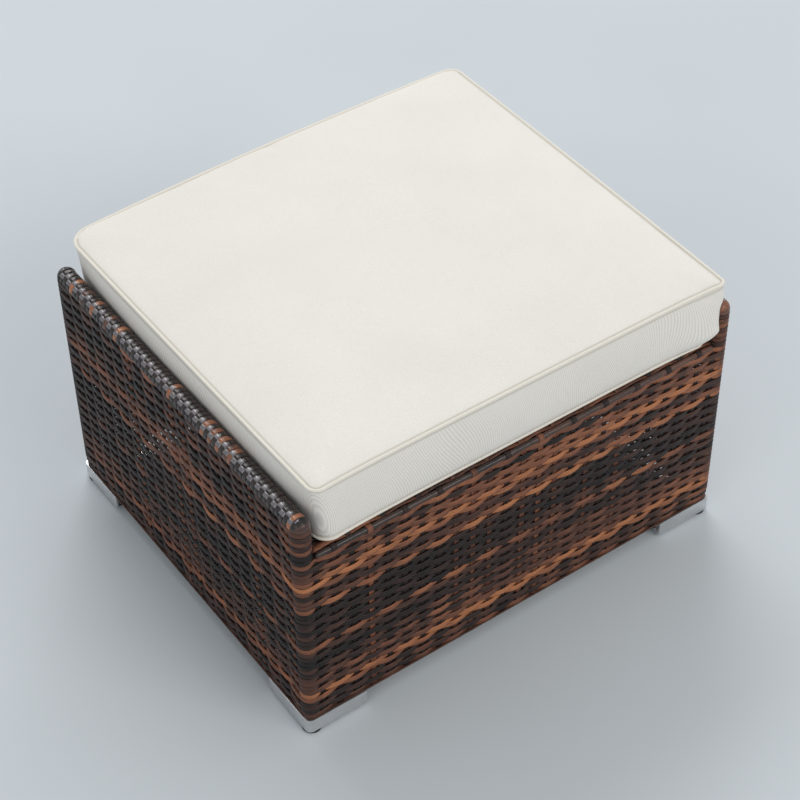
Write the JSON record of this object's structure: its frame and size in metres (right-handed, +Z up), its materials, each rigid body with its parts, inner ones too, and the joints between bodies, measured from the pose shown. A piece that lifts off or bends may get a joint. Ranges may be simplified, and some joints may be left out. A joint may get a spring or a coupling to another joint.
{
  "type": "outdoor ottoman footstool",
  "caption": "Low woven wicker footstool with raised rolled sides, metal corner feet and a lift-off box cushion with piped edges.",
  "frame": {"origin": "on the floor under the middle of the whole stool, cushion included", "axes": "+X to the right along the low front rim, -Y towards the front, +Z up"},
  "size_m": [0.63, 0.5607, 0.404],
  "materials": {
    "frame_tube": "satin powder coat",
    "wicker": "semi-gloss flat plastic strand, woven",
    "wicker_rim": "semi-gloss flat plastic strand, wrapped",
    "foot_metal": "brushed",
    "plug_plastic": "moulded",
    "glide_plastic": "moulded",
    "cushion_fabric": "fine plain weave",
    "foam": "open-cell foam",
    "zip_tape": "woven tape",
    "zip_metal": "satin"
  },
  "bodies": {
    "frame": {"corner_post_front_left": "frame_tube", "corner_post_front_right": "frame_tube", "corner_post_rear_left": "frame_tube", "corner_post_rear_right": "frame_tube", "bottom_rail_front": "frame_tube", "seat_rail_front": "frame_tube", "bottom_rail_rear": "frame_tube", "seat_rail_rear": "frame_tube", "bottom_rail_left": "frame_tube", "seat_rail_left": "frame_tube", "bottom_rail_right": "frame_tube", "seat_rail_right": "frame_tube", "side_top_rail_left": "frame_tube", "side_top_rail_right": "frame_tube", "seat_cross_bar_1": "frame_tube", "seat_cross_bar_2": "frame_tube", "seat_cross_bar_3": "frame_tube", "woven_wall_front": "wicker", "woven_wall_rear": "wicker", "woven_wall_left": "wicker", "woven_wall_right": "wicker", "raised_side_left": "wicker", "raised_side_right": "wicker", "woven_seat_deck": "wicker", "side_roll_left": "wicker_rim", "side_roll_right": "wicker_rim", "rim_cord_front": "wicker_rim", "rim_cord_rear": "wicker_rim", "corner_foot_front_left": "foot_metal", "corner_foot_front_right": "foot_metal", "corner_foot_rear_left": "foot_metal", "corner_foot_rear_right": "foot_metal", "post_plug_front_left": "plug_plastic", "post_plug_front_right": "plug_plastic", "post_plug_rear_left": "plug_plastic", "post_plug_rear_right": "plug_plastic"},
    "glide_front_left": {"glide_front_left": "glide_plastic"},
    "glide_front_right": {"glide_front_right": "glide_plastic"},
    "glide_rear_left": {"glide_rear_left": "glide_plastic"},
    "glide_rear_right": {"glide_rear_right": "glide_plastic"},
    "cushion": {"cushion_cover": "cushion_fabric", "cushion_foam": "foam", "cushion_welt_top": "cushion_fabric", "cushion_welt_bottom": "cushion_fabric", "zip_tape": "zip_tape", "zip_chain": "zip_metal"},
    "zip_slider": {"zip_slider": "zip_metal"},
    "zip_pull": {"zip_pull": "zip_metal"}
  },
  "joints": [
    {"name": "glide_front_left_screw", "type": "slide", "parent": "frame", "child": "glide_front_left", "axis": [0, 0, -1], "range_m": [0, 0.008]},
    {"name": "glide_front_right_screw", "type": "slide", "parent": "frame", "child": "glide_front_right", "axis": [0, 0, -1], "range_m": [0, 0.008]},
    {"name": "glide_rear_left_screw", "type": "slide", "parent": "frame", "child": "glide_rear_left", "axis": [0, 0, -1], "range_m": [0, 0.008]},
    {"name": "glide_rear_right_screw", "type": "slide", "parent": "frame", "child": "glide_rear_right", "axis": [0, 0, -1], "range_m": [0, 0.008]},
    {"name": "cushion_lift", "type": "slide", "parent": "frame", "child": "cushion", "axis": [0, 0, 1], "range_m": [0, 0.12]},
    {"name": "zip_run", "type": "slide", "parent": "cushion", "child": "zip_slider", "axis": [1, 0, 0], "range_m": [-0.3727, 0]},
    {"name": "zip_pull_swing", "type": "hinge", "parent": "zip_slider", "child": "zip_pull", "pos_m": [0.1907, 0.2783, 0.34955], "axis": [0, 0, 1], "range_deg": [-170, 0]}
  ]
}
